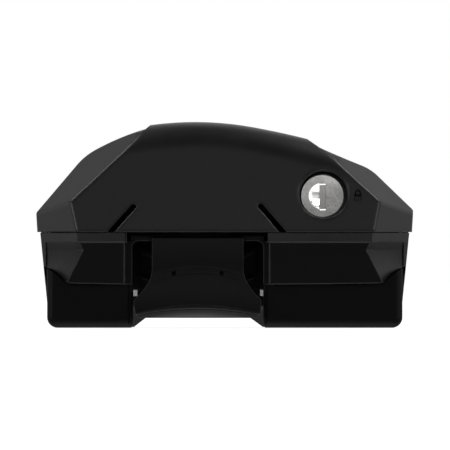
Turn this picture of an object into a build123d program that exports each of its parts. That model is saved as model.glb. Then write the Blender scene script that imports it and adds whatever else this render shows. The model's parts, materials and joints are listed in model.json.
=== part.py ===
# Roof bar foot: a faceted, lockable cover over a moulded base with two legs,
# a rubber foot pad, a bent steel clamp bracket between the legs and a cradle
# for the end of a wing-shaped roof bar.
# Frame: millimetres, +Z up, front of the foot towards -Y, origin at the middle
# of the footprint on the standing surface.
import os
from math import cos, sin, tan, radians, hypot

from build123d import *

os.makedirs("parts", exist_ok=True)

# ---------------------------------------------------------------- dimensions
FRONT_Y = -52.5          # lower front edge of the cover
REAR_Y = 52.5            # rear end of the cradle
LEAN = 9.0               # backward lean of the cover's front face, degrees
COVER_Z = 38.2           # lower edge of the cover
COVER_T = 2.4            # cover wall
CROWN_R = 13.0           # roll-over of the cover's top front edge
XC = -10.8               # middle of the clamp, portal and cradle
PORTAL_HALF = 26.15      # half width of the gap between the legs
BASE_TOP = 37.85         # top rim of the base housing
BASE_BOTTOM = 9.4        # lower edge of the base housing's side walls
BASE_T = 2.8             # base housing wall
PAD_TOP = 12.7           # seat of the base plate on the pad
PLATE_T = 2.4            # base plate
PLATE_TOP = PAD_TOP + PLATE_T
HINGE_Y, HINGE_Z = 36.0, 47.0   # cover hinge axis, along X
HINGE_R = 8.8            # round end of the cover's cheeks
PIN_R = 2.5              # hinge pins
SCREW_Z = 45.0           # torque screw axis, along Y
SCREW_R = 4.0            # M8
STEEL_T = 2.4            # clamp bracket sheet
CLAMP_Y = -48.4          # front face of the bracket's upright part
LUG_Y = -37.0            # front face of the bracket's screw lug
LOCK_X, LOCK_Z = 38.9, 53.1     # lock axis where it leaves the cover's face
CORE_R = 8.78            # lock core
LOCK_IN = 3.0            # recess of the core's face


def front_y(z):
    """Depth of the cover's leaning front face at height z."""
    return FRONT_Y + (z - COVER_Z) * tan(radians(LEAN))


def face_plane(p, q, r, away):
    """Plane through three points, its normal on the side of the point away."""
    a, b, c = Vector(*p), Vector(*q), Vector(*r)
    n = (b - a).cross(c - a).normalized()
    if n.dot(Vector(*away) - a) < 0:
        n = n * -1
    return Plane(origin=a, x_dir=(b - a).normalized(), z_dir=n)


def inner(pl, d):
    """The same plane moved inwards by d."""
    return Plane(origin=pl.origin - pl.z_dir * d, x_dir=pl.x_dir, z_dir=pl.z_dir)


# ------------------------------------------------------- cover, outer surfaces
# Outlines seen from the front (X, Z), from left to right: the body of the cover,
# and the front shield, which stands a little proud of it at the crown.
BODY_LINE = [(-59.2, 65.2), (-52.0, 71.07), (-31.6, 79.4), (-12.0, 81.2), (8.0, 79.6),
             (37.6, 72.1), (54.7, 64.9), (61.2, 60.76)]
HOLLOW_LINE = [(-63.9, 59.8), (-49.3, 72.6), (-28.0, 80.7), (-11.9, 82.2), (18.5, 78.7),
               (38.9, 71.9), (54.6, 64.4), (61.2, 59.8)]
SHIELD_LINE = [(-50.0, 77.6), (-28.6, 81.1), (-11.9, 82.2), (10.8, 80.2), (29.8, 76.2), (60.0, 67.2)]
BODY_START = (-80.0, 40.496)
HOLLOW_START = (-80.0, 40.424)
SHIELD_START = (-80.0, 71.718)
SHIELD_LEFT = Plane(origin=(-31.6, 0, 79.4), x_dir=(0, 1, 0),
                    z_dir=(-sin(radians(39.5)), 0, cos(radians(39.5))))
SHIELD_RIGHT = Plane(origin=(36.2, 0, 73.1), x_dir=(0, 1, 0),
                     z_dir=(sin(radians(35)), 0, cos(radians(35))))

FRONT_FACE = Plane(origin=(0, FRONT_Y, COVER_Z), x_dir=(1, 0, 0),
                   z_dir=(0, -cos(radians(LEAN)), sin(radians(LEAN))))
L_MID = (-61.6, front_y(50.6), 50.6)
L_LOW = (-58.8, front_y(38.2), 38.2)
L_TOP = (-40.1, front_y(70.7), 70.7)
L_SIDE = (-75.2, -25.0, 45.7)
R_MID = (61.9, front_y(50.5), 50.5)
R_LOW = (59.4, front_y(38.2), 38.2)
R_TOP = (44.6, front_y(66.4), 66.4)
R_SIDE = (75.2, -25.0, 45.8)
FACETS = [
    face_plane(L_MID, L_LOW, L_SIDE, (-200, -200, 40)),
    face_plane(L_MID, L_TOP, L_SIDE, (-200, -200, 200)),
    face_plane(R_MID, R_LOW, R_SIDE, (200, -200, 40)),
    face_plane(R_MID, R_TOP, R_SIDE, (200, -200, 200)),
]
FLANKS = [
    face_plane((-75.0, 0, 38.2), (-75.45, 0, 45.9), (-75.0, 50, 38.2), (-200, 0, 40)),
    face_plane((74.9, 0, 38.2), (75.4, 0, 46.74), (74.9, 50, 38.2), (200, 0, 40)),
]
TAPER = [  # rear flanks, narrowing towards the bar
    face_plane((-75.6, 4, 0), (-60.0, 50, 0), (-75.6, 4, 50), (-200, 100, 0)),
    face_plane((75.6, 4, 0), (60.0, 50, 0), (75.6, 4, 50), (200, 100, 0)),
]


def crown_block(first, line, d):
    """Block behind the leaning front face under one crown outline, moved inwards by d."""
    low = COVER_Z - 3 * d
    with BuildPart() as block:
        with BuildSketch(Plane.XZ.offset(60)):
            with BuildLine():
                run = Line(first, line[0])
                for point in line[1:]:
                    run = TangentArc(run @ 1, point, tangent=run % 1)
                end, way = run @ 1, run % 1
                Polyline(end, (80.0, end.Y + way.Y * (80.0 - end.X) / way.X), (80.0, low),
                         (-80.0, low), first)
            make_face()
            if d > 0:
                offset(amount=-d, kind=Kind.INTERSECTION, mode=Mode.REPLACE)
        extrude(amount=-115)
        split(bisect_by=inner(FRONT_FACE, d), keep=Keep.BOTTOM)
        lip = [e for e in block.edges()
               if abs((e.center() - inner(FRONT_FACE, d).origin).dot(FRONT_FACE.z_dir)) < 0.01
               and e.center().Z > 50 and abs(e.center().X) < 71]
        fillet(lip, radius=CROWN_R - d)
    return block.part


def cover_block(d):
    """Solid block of the cover's outer surfaces, all moved inwards by d."""
    with BuildPart() as left:
        add(crown_block(BODY_START, BODY_LINE, 0))
        split(bisect_by=SHIELD_LEFT, keep=Keep.TOP)
    with BuildPart() as right:
        add(crown_block(BODY_START, BODY_LINE, 0))
        split(bisect_by=SHIELD_RIGHT, keep=Keep.TOP)
    with BuildPart() as shield:
        add(crown_block(SHIELD_START, SHIELD_LINE, 0))
        split(bisect_by=SHIELD_LEFT, keep=Keep.BOTTOM)
        split(bisect_by=SHIELD_RIGHT, keep=Keep.BOTTOM)
    with BuildPart() as whole:
        if d > 0:
            add(crown_block(HOLLOW_START, HOLLOW_LINE, d))
        else:
            add(shield.part)
            add(left.part)
            add(right.part)
        for pl in FLANKS + FACETS + TAPER:
            split(bisect_by=inner(pl, d), keep=Keep.BOTTOM)
    return whole.part


# Side outline of the cover: the top ends in front of the hinge, and each cheek
# ends in a round lobe about the hinge axis.
def cover_side(d):
    with BuildPart() as side:
        with BuildSketch(Plane.YZ.offset(-90)):
            with BuildLine():
                a = radians(46)
                lobe = (HINGE_Y + HINGE_R * cos(a), HINGE_Z + HINGE_R * sin(a))
                low = (HINGE_Y, COVER_Z)
                mid = (HINGE_Y + HINGE_R * cos(radians(-22)), HINGE_Z + HINGE_R * sin(radians(-22)))
                ThreePointArc(low, mid, lobe)
                k = (90 - lobe[1]) / tan(radians(44))
                Polyline(lobe, (lobe[0] - k, 90), (-70, 90), (-70, COVER_Z), low)
            make_face()
        extrude(amount=180)
    return side.part


outer_block = cover_block(0.0)
inner_block = cover_block(COVER_T)
side_block = cover_side(0.0)

# Lock axis runs square to the cover's face.
LOCK_DIR = Vector(0, cos(radians(LEAN)), -sin(radians(LEAN)))
LOCK_FACE = Vector(LOCK_X, front_y(LOCK_Z), LOCK_Z)


def lock_plane(depth, dx=0.0):
    """Plane square to the lock axis, depth inwards from the cover's face."""
    return Plane(origin=LOCK_FACE + LOCK_DIR * depth + Vector(dx, 0, 0), x_dir=(1, 0, 0),
                 z_dir=LOCK_DIR)


# ---------------------------------------------------------------- front cover
SLOT_W = 2.1
SLOTS = [((-46.2, 37.4), (-36.4, 48.3)), ((23.9, 37.4), (14.3, 48.5))]
SOFT_R = 1.4             # rounding of the facet edges


def lies_on(pl, e):
    """True if the edge lies in the plane."""
    return all(abs((e @ t - pl.origin).dot(pl.z_dir)) < 0.01 for t in (0.0, 0.5, 1.0))


with BuildPart() as front_cover:
    add(outer_block)
    fillet([e for e in front_cover.edges() if e.center().Z > COVER_Z + 0.3 and e.center().Y < 4.2
            and any(lies_on(pl, e) for pl in FACETS + FLANKS)], radius=SOFT_R)
    add(inner_block, mode=Mode.SUBTRACT)
    # round housing of the lock behind the front wall
    with BuildSketch(lock_plane(1.2)):
        Circle(14.0)
    extrude(amount=14.8)
    with BuildSketch(lock_plane(2.5)):
        Circle(11.75)
    extrude(amount=20, mode=Mode.SUBTRACT)
    # hinge bosses inside the cheeks
    for side in (-1, 1):
        with BuildSketch(Plane.YZ.offset(side * 57.5)):
            with Locations((HINGE_Y, HINGE_Z)):
                Circle(6.2)
        extrude(amount=side * 8)
    # stiffening ribs under the top
    for x in (-56, -30, 20):
        with BuildSketch(Plane.XY.offset(66 if x > -40 else 58)):
            with Locations((x, -26)):
                Rectangle(1.8, 32)
        extrude(amount=25)
    add(outer_block, mode=Mode.INTERSECT)
    # bore of the lock with a chamfered rim
    with BuildSketch(lock_plane(-6, 0.45)):
        with Locations((0, -0.3)):
            Circle(9.55)
    extrude(amount=14, mode=Mode.SUBTRACT)
    with BuildSketch(lock_plane(-0.1, 0.5)):
        with Locations((0, -0.4)):
            Circle(10.4)
    extrude(amount=0.9, taper=45, mode=Mode.SUBTRACT)
    # slanted slots, open at the lower edge
    for (x0, z0), (x1, z1) in SLOTS:
        run_len = hypot(x1 - x0, z1 - z0)
        ux, uz = (x1 - x0) / run_len, (z1 - z0) / run_len
        nx, nz = -uz * SLOT_W / 2, ux * SLOT_W / 2
        with BuildSketch(Plane.XZ.offset(60)):
            with BuildLine():
                Polyline((x1 + nx, z1 + nz), (x0 + nx, z0 + nz), (x0 - nx, z0 - nz), (x1 - nx, z1 - nz))
                ThreePointArc((x1 - nx, z1 - nz), (x1 + ux * SLOT_W / 2, z1 + uz * SLOT_W / 2),
                              (x1 + nx, z1 + nz))
            make_face()
        extrude(amount=-16, mode=Mode.SUBTRACT)
    # blind holes for the hinge pins
    for side in (-1, 1):
        with BuildSketch(Plane.YZ.offset(side * 50)):
            with Locations((HINGE_Y, HINGE_Z)):
                Circle(PIN_R + 0.06)
        extrude(amount=side * 11.5, mode=Mode.SUBTRACT)
    # engraved padlock pictogram: shackle and bar deeper than the body
    with BuildSketch(lock_plane(-1.0, 14.1)):
        with Locations((0, 1.45)):
            Rectangle(3.0, 1.7)
            Rectangle(2.5, 1.2, mode=Mode.SUBTRACT)
    extrude(amount=1.4, mode=Mode.SUBTRACT)
    with BuildSketch(lock_plane(-1.0, 14.1)):
        with Locations((0.1, -0.75)):
            Circle(1.2)
            Circle(0.7, mode=Mode.SUBTRACT)
        with Locations((0.1, 0.3)):
            Rectangle(3.0, 2.1, mode=Mode.SUBTRACT)
        with Locations((-0.85, -0.5), (1.05, -0.5)):
            Rectangle(0.5, 0.6)
        with Locations((0, 0.15)):
            Rectangle(3.1, 0.6)
    extrude(amount=1.7, mode=Mode.SUBTRACT)
    add(side_block, mode=Mode.INTERSECT)

front_cover.part.label = "front_cover"
export_step(front_cover.part, "parts/front_cover.step")

# --------------------------------------------------------------- base housing
BAND_Z = 34.2            # lower edge of the smooth band under the cover
DECK_LOW, DECK_TOP = 34.7, 36.7
RIM_X = 71.4             # outer strip that stays full height beside the recess
# lower edge of the skirts seen from the front, left half then right half
SCALLOP_L = [(-72.15, 24.6), (-70.9, 24.05), (-68.6, 22.7), (-66.2, 20.8), (-64.2, 18.9), (-62.6, 18.0),
             (-61.0, 17.8)]
SCALLOP_R = [(61.0, 17.8), (62.6, 18.0), (64.2, 18.9), (66.2, 20.9), (68.6, 22.8), (70.9, 24.0),
             (72.15, 24.6)]


def both_sides(points):
    """Right half of a plan outline, mirrored to a closed outline."""
    return points + [(-x, y) for x, y in reversed(points)]


def stack(levels):
    """Straight-sided solid through plan outlines at rising heights."""
    with BuildPart() as solid:
        for z, points in levels:
            with BuildSketch(Plane.XY.offset(z)):
                with BuildLine():
                    Polyline(*points, close=True)
                make_face()
        loft(ruled=True)
    return solid.part


housing_outer = stack([
    (BASE_BOTTOM, both_sides([(67.0, -49.4), (71.0, -26.0), (71.0, 4.0), (56.4, 48.0)])),
    (BAND_Z, both_sides([(58.9, -52.33), (73.43, -26.0), (73.43, 4.0), (58.65, 49.73)])),
    (BASE_TOP, both_sides([(59.1, -52.5), (73.8, -26.0), (73.8, 4.0), (59.0, 50.0)])),
])
# the same up to the top of the inner lip
housing_hull = stack([
    (BASE_BOTTOM, both_sides([(67.0, -49.4), (71.0, -26.0), (71.0, 4.0), (56.4, 48.0)])),
    (BAND_Z, both_sides([(58.9, -52.33), (73.43, -26.0), (73.43, 4.0), (58.65, 49.73)])),
    (BASE_TOP, both_sides([(59.1, -52.5), (73.8, -26.0), (73.8, 4.0), (59.0, 50.0)])),
    (60.0, both_sides([(59.1, -52.5), (73.8, -26.0), (73.8, 4.0), (59.0, 50.0)])),
])
# surface of the skirts inside the recess below the band
skirt_body = stack([
    (4.0, both_sides([(69.8, -48.9), (72.6, -25.6), (72.6, 10.0), (72.6, 20.0)])),
    (18.5, both_sides([(62.8, -50.1), (72.6, -24.6), (72.6, 10.0), (72.6, 20.0)])),
    (31.1, both_sides([(56.5, -51.2), (72.6, -27.0), (72.6, 10.0), (72.6, 20.0)])),
    (BAND_Z, both_sides([(58.0, -51.9), (72.6, -27.4), (72.6, 10.0), (72.6, 20.0)])),
])
with BuildPart() as recess:
    with BuildSketch(Plane.XY.offset(4.0)):
        with Locations((0, -40)):
            Rectangle(2 * RIM_X, 40)
    extrude(amount=BAND_Z - 4.0)
    add(skirt_body, mode=Mode.SUBTRACT)

housing_inner = stack([
    (4.0, both_sides([(63.0, -46.6), (67.6, -26.0), (67.6, 4.0), (53.2, 45.0)])),
    (18.5, both_sides([(59.3, -47.3), (68.6, -24.4), (68.8, 4.2), (54.3, 45.6)])),
    (31.1, both_sides([(53.6, -48.3), (68.9, -24.6), (69.9, 4.4), (55.4, 46.4)])),
    (BAND_Z, both_sides([(54.8, -49.0), (69.4, -24.4), (70.3, 4.5), (55.7, 46.7)])),
    (40.0, both_sides([(56.2, -49.6), (71.0, -24.2), (71.0, 4.6), (56.2, 47.2)])),
])

# lip inside the cover's lower edge, set back from it, and the shelf that carries it
lip_outer = stack([
    (34.6, both_sides([(55.6, -47.4), (70.0, -21.6), (70.0, -10.0), (70.0, 4.0)])),
    (41.5, both_sides([(55.6, -47.0), (70.0, -21.6), (70.0, -10.0), (70.0, 4.0)])),
])
lip_inner = stack([
    (34.0, both_sides([(54.8, -46.1), (68.7, -21.2), (68.7, -10.0), (68.7, 9.0)])),
    (45.0, both_sides([(54.8, -45.7), (68.7, -21.2), (68.7, -10.0), (68.7, 9.0)])),
])
lip_shelf = stack([
    (34.6, both_sides([(57.1, -50.2), (71.6, -24.2), (71.6, -10.0), (71.6, 4.0)])),
    (36.2, both_sides([(57.1, -50.2), (71.6, -24.2), (71.6, -10.0), (71.6, 4.0)])),
])

with BuildPart() as base_housing:
    add(housing_outer)
    add(recess.part, mode=Mode.SUBTRACT)
    add(housing_inner, mode=Mode.SUBTRACT)
    # lip that stands up inside the cover's lower edge
    add(lip_outer - lip_inner)
    add(lip_shelf - lip_inner)
    # side walls of the portal and the deck across it
    with BuildSketch(Plane.XY.offset(PLATE_TOP + 0.2)):
        with Locations(((-42.6 + 20.4) / 2, -38.25)):
            Rectangle(63.0, 23.3)
    extrude(amount=DECK_TOP - PLATE_TOP - 0.2)
    # rear decks beside the cradle, raised rear wall below it
    with BuildSketch(Plane.XY.offset(35.6)):
        with Locations((0, 28)):
            Rectangle(160, 40)
    extrude(amount=BASE_TOP - 35.6)
    add(housing_hull, mode=Mode.INTERSECT)
    # room for the lock in the lip
    with BuildSketch(Plane.XY.offset(38.25)):
        with Locations((39.0, -45.0)):
            Rectangle(34.0, 12.0)
    extrude(amount=10, mode=Mode.SUBTRACT)
    with BuildSketch(Plane.XY.offset(37.7)):
        with Locations((39.0, -45.0)):
            Rectangle(13.0, 12.0)
    extrude(amount=10, mode=Mode.SUBTRACT)
    # stops on the side rims, just under the cover's lower edge
    with BuildSketch(Plane.XY.offset(36.0)):
        with Locations((71.4, -11.0), (-71.4, -11.0)):
            Rectangle(4.4, 2.4)
    extrude(amount=38.18 - 36.0)
    with BuildSketch(Plane.XY.offset(30.0)):
        with Locations((-2.75, 16)):
            Rectangle(80.5, 61.6)
    extrude(amount=10, mode=Mode.SUBTRACT)
    with BuildSketch(Plane.XY.offset(35.6)):
        with Locations((0, 48.55)):
            Rectangle(102.8, 2.7)
    extrude(amount=10.8)
    # hinge towers
    for side in (-1, 1):
        with BuildSketch(Plane.YZ.offset(side * 51.5)):
            with Locations((HINGE_Y, HINGE_Z)):
                Circle(6.2)
            with Locations((HINGE_Y, (HINGE_Z + 36) / 2)):
                Rectangle(12.4, HINGE_Z - 36)
        extrude(amount=side * 5.6)
        with BuildSketch(Plane.YZ.offset(side * 51)):
            with Locations((HINGE_Y, HINGE_Z)):
                Circle(PIN_R + 0.01)
        extrude(amount=side * 8, mode=Mode.SUBTRACT)
    # screw bosses with ribs to the walls
    for side in (-1, 1):
        with BuildSketch(Plane.XY.offset(PLATE_TOP + 0.05)):
            with Locations((side * 59, -6)):
                Circle(4.2)
            with Locations((side * 64.4, -6)):
                Rectangle(10.0, 2.2)
        extrude(amount=18)
        with BuildSketch(Plane.XY.offset(PLATE_TOP + 0.05)):
            with Locations((side * 47.5, 39.5)):
                Circle(4.2)
        extrude(amount=21)
        with BuildSketch(Plane.XY.offset(10)):
            with Locations((side * 59, -6), (side * 47.5, 39.5)):
                Circle(1.85)
        extrude(amount=20, mode=Mode.SUBTRACT)
    # portal between the legs, with rounded upper corners
    with BuildSketch(Plane.XZ.offset(60)):
        with Locations((XC, 13.0)):
            Rectangle(2 * PORTAL_HALF, 2 * (DECK_LOW - 13.0))
        fillet([v for v in vertices() if v.Y > 20], radius=2.6)
    extrude(amount=-32.8, mode=Mode.SUBTRACT)
    # free ends of the bands and skirts beside the portal
    with BuildSketch(Plane.XY.offset(0)):
        with Locations(((-39.1 + 16.65) / 2, -53.3)):
            Rectangle(39.1 + 16.65, 12.2)
    extrude(amount=45, mode=Mode.SUBTRACT)
    with BuildSketch(Plane.XY.offset(0)):
        with Locations(((-40.1 + 17.9) / 2, -53.6)):
            Rectangle(58.0, 12.8)
    extrude(amount=BAND_Z, mode=Mode.SUBTRACT)
    # gaps beside the free ends of the bands, and over the deck
    with BuildSketch(Plane.XY.offset(34.5)):
        with Locations(((-39.1 - 37.4) / 2, -46.0), ((16.65 + 16.0) / 2, -46.0)):
            Rectangle(1.7, 20.0)
    extrude(amount=10, mode=Mode.SUBTRACT)
    with BuildSketch(Plane.XY.offset(DECK_TOP)):
        with Locations(((-39.1 + 16.65) / 2, -48.0)):
            Rectangle(39.1 + 16.65, 12.0)
    extrude(amount=10, mode=Mode.SUBTRACT)
    # slot in the deck for the bracket's arm
    with BuildSketch(Plane.XY.offset(30)):
        with Locations((XC, -44.3)):
            Rectangle(2 * 18.75, 31.6)
    extrude(amount=15, mode=Mode.SUBTRACT)
    # swept lower edge of the skirts
    with BuildSketch(Plane.XZ.offset(60)):
        with BuildLine():
            sl = Spline(*SCALLOP_L, tangents=[(1, -0.2), (1, 0)])
            sr = Spline(*SCALLOP_R, tangents=[(1, 0), (1, 0.2)])
            Polyline(sl @ 1, (-37.0, 17.35), (16.0, 17.35), sr @ 0)
            Polyline(sr @ 1, (72.15, 0), (-72.15, 0), sl @ 0)
        make_face()
    extrude(amount=-35.1, mode=Mode.SUBTRACT)
    # lower end of the wall at the back of the portal, and slanted ribs on it
    with BuildSketch(Plane.XZ.offset(27.2)):
        with Locations((XC, 18.0)):
            Rectangle(62.0, 4.6)
        with Locations(((-34.9 + 14.1) / 2, 13.5)):
            Rectangle(49.0, 6.0)
    extrude(amount=-0.6)
    with BuildSketch(Plane.XZ.offset(27.95)):
        with Locations(Location((XC - 18.6, 29.4), -24), Location((XC + 18.6, 29.4), 24)):
            Rectangle(10.4, 2.2)
        with Locations(Location((XC - 20.6, 19.6), -18), Location((XC + 20.6, 19.6), 18)):
            Rectangle(7.0, 0.8)
        with Locations((XC - 23.0, 24.5), (XC + 23.0, 24.5)):
            Rectangle(0.8, 18.0)
    extrude(amount=-0.9)

base_housing.part.label = "base_housing"
export_step(base_housing.part, "parts/base_housing.step")

# ------------------------------------------------------------------- foot pad
PAD_X = 70.9             # half width of the pad
PAD_FRONT = -46.5
GROOVE = (-36.0, 22.0)   # rail groove under the pad, along X
GROOVE_Z = 8.8
CRADLE_SCREWS = [(-46.0, -10.0), (-46.0, 26.0), (42.0, -10.0), (42.0, 26.0)]
HOUSING_SCREWS = [(-59.0, -6.0), (59.0, -6.0), (-47.5, 39.5), (47.5, 39.5)]
PAD_IN = (-36.5, 15.35)  # pad's edges along the portal
NOTCH = [(PAD_IN[1], PAD_FRONT), (PAD_IN[1], -20.0), (PAD_IN[0], -20.0), (PAD_IN[0], PAD_FRONT)]
# upper edge of the raised corners, just under the skirts' lower edge
PAD_EDGE_L = [(-PAD_X, 23.5)] + [(x, z - 0.45) for x, z in SCALLOP_L[2:]]
PAD_EDGE_R = [(x, z - 0.45) for x, z in SCALLOP_R[:5]] + [(PAD_X, 23.5)]

with BuildPart() as foot_pad:
    with BuildSketch(Plane.XY):
        with BuildLine():
            Polyline(*NOTCH, (-PAD_X, PAD_FRONT), (-PAD_X, 4.0), (-56.3, 47.5), (56.3, 47.5),
                     (PAD_X, 4.0), (PAD_X, PAD_FRONT), close=True)
        make_face()
    extrude(amount=9.2)
    # raised front walls and corners under the skirts
    with BuildSketch(Plane.XZ.offset(-PAD_FRONT)):
        with BuildLine():
            pl1 = Spline(*PAD_EDGE_L,
                         tangents=[(1, -0.4), (1, 0)])
            Polyline(pl1 @ 1, (PAD_IN[0], 16.9), (PAD_IN[0], 4.0),
                     (-PAD_X, 4.0), pl1 @ 0)
        make_face()
        with BuildLine():
            pl2 = Spline(*PAD_EDGE_R,
                         tangents=[(1, 0), (1, 0.4)])
            Polyline(pl2 @ 1, (PAD_X, 4.0), (PAD_IN[1], 4.0), (PAD_IN[1], 16.9), pl2 @ 0)
        make_face()
    extrude(amount=-5.0)
    with BuildSketch(Plane.XZ.offset(-PAD_FRONT)):
        with BuildLine():
            pl3 = Spline(*PAD_EDGE_L,
                         tangents=[(1, -0.4), (1, 0)])
            Polyline(pl3 @ 1, ((pl3 @ 1).X, 4.0), (-PAD_X, 4.0), pl3 @ 0)
        make_face()
        with BuildLine():
            pl4 = Spline(*PAD_EDGE_R,
                         tangents=[(1, 0), (1, 0.4)])
            Polyline(pl4 @ 1, (PAD_X, 4.0), ((pl4 @ 0).X, 4.0), pl4 @ 0)
        make_face()
    extrude(amount=-21.2)
    # seat for the base plate
    with BuildSketch(Plane.XY.offset(8.0)):
        with BuildLine():
            Polyline(*NOTCH, (-60.4, PAD_FRONT), (-66.0, -30.0), (-66.0, 3.0), (-52.0, 44.4),
                     (52.0, 44.4), (66.0, 3.0), (66.0, -30.0), (60.4, PAD_FRONT), close=True)
        make_face()
    extrude(amount=PAD_TOP - 8.0)
    # rounded front corners and lower side edges
    fillet([e for e in foot_pad.edges() if e.geom_type == GeomType.LINE
            and abs(abs(e.center().X) - PAD_X) < 0.05 and abs(e.center().Y - PAD_FRONT) < 0.05
            and abs(e.tangent_at(0.5).Z) > 0.99], radius=3.0)
    fillet([e for e in foot_pad.edges() if abs(e.center().Z) < 0.01
            and abs(abs(e.center().X) - PAD_X) < 0.05 and abs(e.tangent_at(0.5).Y) > 0.99],
           radius=4.2)
    # rounded edges and fine grooves beside the portal
    fillet([e for e in foot_pad.edges() if e.geom_type == GeomType.LINE
            and min(abs(e.center().X - x) for x in PAD_IN) < 0.05 and abs(e.center().Y - PAD_FRONT) < 0.05
            and abs(e.tangent_at(0.5).Z) > 0.99], radius=1.3)
    with BuildSketch(Plane.XY):
        with Locations((16.75, PAD_FRONT + 0.5), (-38.3, PAD_FRONT + 0.5)):
            Rectangle(0.45, 1.0)
    extrude(amount=30, mode=Mode.SUBTRACT)
    # groove for the rail and its ribbed roof
    with BuildSketch(Plane.YZ.offset(-80)):
        with Locations(((GROOVE[0] + GROOVE[1]) / 2, GROOVE_Z / 2 - 1)):
            Rectangle(GROOVE[1] - GROOVE[0], GROOVE_Z + 2)
        fillet([v for v in vertices() if v.Y > 4], radius=2.5)
    extrude(amount=160, mode=Mode.SUBTRACT)
    with BuildSketch(Plane.XY.offset(7.9)):
        with Locations(*[(x, y) for x in (-50.5, 40.0) for y in (-30, -22, 2, 10, 18)]):
            Rectangle(22.0, 1.4)
    extrude(amount=1.2)
    # arch through the rear lip
    with BuildSketch(Plane.XZ.offset(-20)):
        with BuildLine():
            Polyline((-36.5, 0.0), (-31.5, 3.9), (9.9, 3.9), (15.3, 0.0), (15.3, -3.0), (-36.5, -3.0),
                     close=True)
        make_face()
        fillet([v for v in vertices() if v.Y > 2], radius=2.0)
    extrude(amount=-40, mode=Mode.SUBTRACT)
    # window and holes for the screws
    with BuildSketch(Plane.XY.offset(4.0)):
        with Locations((XC, 7.5)):
            Rectangle(30, 29)
        with Locations(*CRADLE_SCREWS):
            Circle(5.8)
        with Locations(*HOUSING_SCREWS):
            Circle(4.4)
    extrude(amount=10, mode=Mode.SUBTRACT)

foot_pad.part.label = "foot_pad"
export_step(foot_pad.part, "parts/foot_pad.step")

# ----------------------------------------------------------------- base plate
with BuildPart() as base_plate:
    with BuildSketch(Plane.XY.offset(PAD_TOP)):
        with BuildLine():
            Polyline((-57.5, -39.0), (-35.0, -39.0), (-35.0, -18.5), (14.2, -18.5), (14.2, -39.0),
                     (57.5, -39.0), (57.5, -24.0), (64.5, -20.0), (64.5, 3.0), (50.5, 44.0),
                     (-50.5, 44.0), (-64.5, 3.0), (-64.5, -20.0), (-57.5, -24.0), close=True)
        make_face()
        fillet([v for v in vertices() if v.Y < -38 and abs(v.X) > 50 or v.Y > 40], radius=3.0)
        with Locations((XC, 8.5)):
            RectangleRounded(26, 28, 4, mode=Mode.SUBTRACT)
        with Locations(*CRADLE_SCREWS):
            Circle(3.25, mode=Mode.SUBTRACT)
        with Locations(*HOUSING_SCREWS):
            Circle(2.2, mode=Mode.SUBTRACT)
    extrude(amount=PLATE_T)

base_plate.part.label = "base_plate"
export_step(base_plate.part, "parts/base_plate.step")

# ----------------------------------------------------------------- bar cradle
# Wing section of the bar's end, which the trough follows with a small gap.
BAR_GAP = 0.4
NUT_Y = (-21.0, -14.5)
BAR_TIP, BAR_TAIL = (-44.0, 61.0), (36.0, 62.0)

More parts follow.
